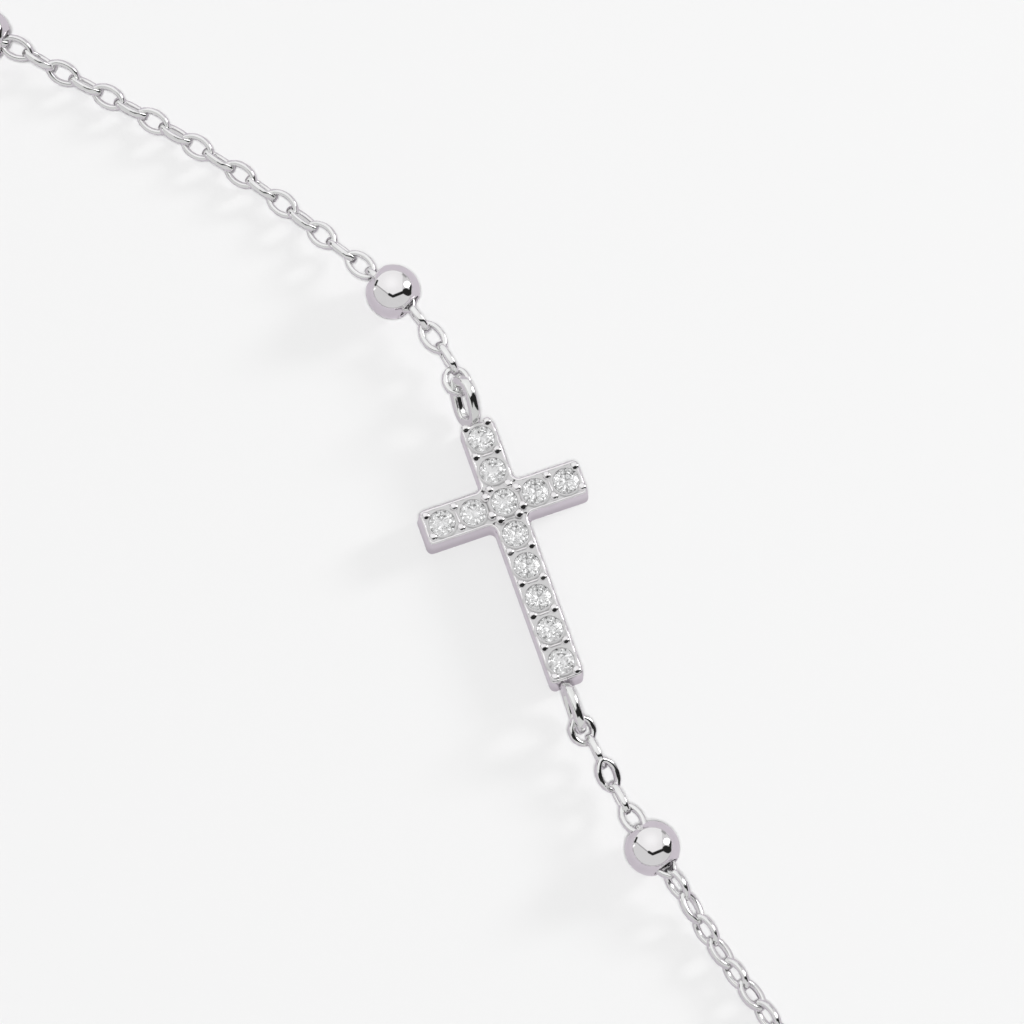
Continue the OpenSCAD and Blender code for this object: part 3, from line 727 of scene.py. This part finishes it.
# Clasp and end ring: a plain cast silver ring with a small fixed eye, which hangs in the last upper link,
# and the ring of silver wire that it holds, soldered shut through the last lower link.
CLASP_R, CLASP_WIRE, EYE_R, EYE_WIRE, END_WIRE, LINK_GAP = 2.6, 1.0, 0.75, 0.4, 0.5, 0.1
upper_end = way_out(UPPER, LINK_COUNTS[UPPER] - 1)
clasp_from, clasp_to = spot(UPPER, upper_end), spot(LOWER, lower_end)
clasp_span = np.linalg.norm(clasp_to - clasp_from)
clasp_heading = float(np.degrees(np.arctan2(*(clasp_to - clasp_from)[::-1])))
low_z = LINK_HALF_W + LINK_WIRE / 2
clasp_l = 2 * (EYE_R + CLASP_R)
tilt = np.arcsin((END_Z - low_z) / clasp_l)
eye_near = LINK_HALF_L - (LINK_WIRE + EYE_WIRE) / 2 - LINK_GAP
end_near = eye_near + clasp_l * np.cos(tilt) - (CLASP_WIRE + END_WIRE) / 2 - LINK_GAP
end_far = clasp_span - LINK_HALF_L + (LINK_WIRE + END_WIRE) / 2 + LINK_GAP
end_r = (end_far - end_near) / 2


def torus(radius, wire, around=72, across=24):
    """Round ring lying flat: a circle of wire carried round a circle."""
    t = np.linspace(0, 2 * np.pi, around, endpoint=False)[:, None]
    w = np.linspace(0, 2 * np.pi, across, endpoint=False)[None]
    out = radius + wire / 2 * np.cos(w)
    return np.stack([out * np.cos(t), out * np.sin(t), wire / 2 * np.sin(w) + 0 * t], -1)


def beside_clasp(points):
    """Points along the clasp's own line, taken to where it lies in the loop."""
    return turned(points, clasp_heading) + [*clasp_from, 0] - LOOP_MIDDLE


def tipped(points):
    """Points tipped up about the near end of the eye."""
    c, s = np.cos(tilt), np.sin(tilt)
    return np.stack([points[..., 0] * c - points[..., 2] * s, points[..., 1],
                     points[..., 0] * s + points[..., 2] * c], -1) + [eye_near, 0, low_z]


eye = torus(EYE_R, EYE_WIRE, 48, 16) + [EYE_R, 0, 0]
body = torus(CLASP_R, CLASP_WIRE, 96, 24) + [2 * EYE_R + CLASP_R, 0, 0]
clasp_rings = [(beside_clasp(tipped(ring))[None], True, True, 0) for ring in (eye, body)]
clasp = make_piece("clasp_ring", clasp_rings, bright_silver)
dress(clasp, "silver", "clasp")
upright = torus(end_r, END_WIRE)[..., [0, 2, 1]] + [end_near + end_r, 0, END_Z]
holder = make_piece("end_ring_wire", [(beside_clasp(upright)[None], True, True, 0)], bright_silver)
dress(holder, "silver", "end_ring")


# Table, light and camera: a near-white tabletop in a pale light tent, with one weak low lamp on the right
# and an even glow from above. Mirrors see the table darker, pinkish and matt, as in a studio whose other
# side is dim.
TABLE_HALF, TABLE_Z = 1.5, -0.00001
TABLE_TONE, TABLE_IN_A_MIRROR = (0.80, 0.80, 0.80), (0.571, 0.533, 0.578)
white_top = bpy.data.materials.new("white_top")
kit = Kit(white_top)
in_a_mirror = kit.node("ShaderNodeLightPath", out=3)
kit.node("ShaderNodeOutputMaterial", Surface=kit.node(
    "ShaderNodeBsdfPrincipled", Base_Color=kit.blend(in_a_mirror, TABLE_TONE, TABLE_IN_A_MIRROR),
    Roughness=in_a_mirror * 0.7 + 0.3, IOR=1.45))
table_mesh = bpy.data.meshes.new("tabletop")
table_corners = [(x * TABLE_HALF, y * TABLE_HALF, TABLE_Z) for x, y in ((-1, -1), (1, -1), (1, 1), (-1, 1))]
table_mesh.from_pydata(table_corners, [], [(0, 1, 2, 3)])
table_mesh.materials.append(white_top)
tabletop = bpy.data.objects.new("tabletop", table_mesh)
bpy.context.scene.collection.objects.link(tabletop)

CAMERA_TILT, CAMERA_FAR, PX_PER_MM, PICTURE_PX = 14.0, 400.0, 21.84, 1024
aim = np.array([0.36, -0.30, 0.8]) - LOOP_MIDDLE
lean = np.radians(CAMERA_TILT)
towards_camera = np.array([0, -np.sin(lean), np.cos(lean)])
picture_up = np.array([0, np.cos(lean), np.sin(lean)])
camera_data = bpy.data.cameras.new("camera")
camera_data.lens = PX_PER_MM * CAMERA_FAR / PICTURE_PX * camera_data.sensor_width
camera_data.clip_start, camera_data.clip_end = 0.01, 10
camera = bpy.data.objects.new("camera", camera_data)
camera.location = (aim + towards_camera * CAMERA_FAR) * MM
camera.rotation_euler = (lean, 0, 0)
bpy.context.scene.collection.objects.link(camera)
bpy.context.scene.camera = camera

# The tent as a polished ball shows it from the front. Cards are placed across and up on that ball, by the
# direction half-way between the ray and the front.
world = bpy.data.worlds.new("light_tent")
bpy.context.scene.world = world
kit = Kit(world)
way_in = kit.node("ShaderNodeTexCoord", out=0)
half = kit.vector("NORMALIZE", kit.vector("ADD", way_in, tuple(towards_camera)))
across = kit.vector("DOT_PRODUCT", half, (1.0, 0.0, 0.0), out=1)
up = kit.vector("DOT_PRODUCT", half, tuple(picture_up), out=1)


def round_card(x, y, radius, soft):
    """One inside a round card, zero outside, where the tent is seen as in a polished ball."""
    far = ((across - x) ** 2.0 + (up - y) ** 2.0) ** 0.5
    return 1 - kit.ramp(far, radius - soft, radius + soft)


def bar_card(x0, y0, x1, y1, half_width, soft=0.012):
    """One inside a straight bar with round ends."""
    dx, dy = x1 - x0, y1 - y0
    share = (((across - x0) * dx + (up - y0) * dy) / (dx * dx + dy * dy)).at_least(0.0).at_most(1.0)
    far = ((across - x0 - share * dx) ** 2.0 + (up - y0 - share * dy) ** 2.0) ** 0.5
    return 1 - kit.ramp(far, half_width - soft, half_width + soft)


def past_edge(x, y, slope_x, slope_y, soft=0.012):
    """One beyond a straight edge through a place, zero before it."""
    return kit.ramp((across - x) * slope_x + (up - y) * slope_y, -soft, soft)


# Brightness of the tent's front, its back and the gaps in it. A card has its middle, radius and softness;
# a bar has both ends, half its width and, for the faint one, its softness.
FRONT, BACK, GAP = 0.72, 0.93, 0.02
BACK_GLOW, GLOW_LIGHT = (-0.05, 0.32, 0.22, 0.2), 0.11
SEAM, SEAM_SHADE = (-0.60, 0.244, -0.15, -0.113, 0.02), 0.5
HORIZON, HORIZON_SHADE = (0.02, 0.06), 0.4
GAPS = ((-0.13, -0.11, 0.0, -0.185, 0.05), (0.02, -0.175, 0.38, -0.03, 0.055),
        (0.48, 0.0, 0.56, -0.04, 0.125), (-0.64, 0.24, -0.57, 0.40, 0.035), (0.655, 0.24, 0.64, 0.0, 0.04))
FAINT_GAP, FAINT = (0.36, 0.64, 0.47, 0.55, 0.03, 0.04), 0.6
STRIP, STRIP_LIGHT = (-0.84, -0.05, -0.66, 0.12, 0.03), 0.6
LAMP_FACE, LAMP_LIGHT = (0.52, 0.268, 0.112, 0.02), 3.0
back = past_edge(-0.60, 0.244, 0.621, 0.783) * past_edge(0.02, -0.207, -0.487, 0.873)
back = back * (1 - kit.ramp(across, 0.34, 0.37))
light = FRONT + back * ((BACK - FRONT) + round_card(*BACK_GLOW) * GLOW_LIGHT)
horizon = 1 - kit.ramp(kit.node("ShaderNodeSeparateXYZ", out=2, Vector=way_in), *HORIZON)
light = light * (1 - bar_card(*SEAM) * SEAM_SHADE) * (1 - horizon * HORIZON_SHADE)
gaps = bar_card(*FAINT_GAP) * FAINT
for bar in GAPS:
    gaps = gaps.at_least(bar_card(*bar))
light = light * (1 - gaps) + gaps * GAP
light = light + bar_card(*STRIP) * STRIP_LIGHT + round_card(*LAMP_FACE) * LAMP_LIGHT

# Inside a stone the tent is an even tone with bright and dark patches, which give the facets their glints.
PATCH_SCALE, STONE_LIGHT, GLINT, DARK_PATCH, DIFFUSE_LIGHT = 5.0, 0.93, 1.4, 0.62, 0.2
in_a_stone = kit.node("ShaderNodeLightPath", out="Transmission Depth").at_most(1.0)
patches = kit.node("ShaderNodeTexVoronoi", out="Color", Vector=way_in, Scale=PATCH_SCALE)
pick = kit.node("ShaderNodeSeparateXYZ", Vector=patches)
fire = STONE_LIGHT + kit.ramp(pick, 0.875, 0.91) * GLINT - (1 - kit.ramp(pick, 0.08, 0.12)) * DARK_PATCH
light = light * (1 - in_a_stone) + fire * in_a_stone
grey = kit.node("ShaderNodeCombineColor", Red=light, Green=light, Blue=light)
tent = kit.node("ShaderNodeBackground", Color=grey)
even = kit.node("ShaderNodeBackground", Color=(DIFFUSE_LIGHT, DIFFUSE_LIGHT, DIFFUSE_LIGHT, 1.0))
diffuse_ray = kit.node("ShaderNodeLightPath", out="Diffuse Depth").at_most(1.0)
kit.node("ShaderNodeOutputWorld",
         Surface=kit.node("ShaderNodeMixShader", **{"0": diffuse_ray, "1": tent, "2": even}))

LAMP_AZIMUTH, LAMP_HEIGHT, LAMP_FAR, LAMP_SIZE = np.radians(26.5), np.radians(20.5), 0.5, 0.11
LAMP_POWER, GLOW_POWER, GLOW_SPREAD = 0.6, 2.76, np.radians(9)
lamp_way = np.array([np.cos(LAMP_HEIGHT) * np.cos(LAMP_AZIMUTH), np.cos(LAMP_HEIGHT) * np.sin(LAMP_AZIMUTH),
                     np.sin(LAMP_HEIGHT)])
lamp_data = bpy.data.lights.new("low_lamp", "AREA")
lamp_data.shape, lamp_data.size = "DISK", LAMP_SIZE
lamp_data.energy = LAMP_POWER
lamp = bpy.data.objects.new("low_lamp", lamp_data)
lamp.location = aim * MM + lamp_way * LAMP_FAR
lamp.rotation_euler = (np.pi / 2 - LAMP_HEIGHT, 0, LAMP_AZIMUTH + np.pi / 2)
lamp.visible_glossy = lamp.visible_transmission = False
bpy.context.scene.collection.objects.link(lamp)
ceiling_data = bpy.data.lights.new("ceiling_glow", "SUN")
ceiling_data.energy, ceiling_data.angle = GLOW_POWER, GLOW_SPREAD
ceiling = bpy.data.objects.new("ceiling_glow", ceiling_data)
ceiling.rotation_euler = (lean, 0, 0)
ceiling.visible_glossy = ceiling.visible_transmission = False
bpy.context.scene.collection.objects.link(ceiling)
bpy.context.scene.view_settings.view_transform = "Standard"
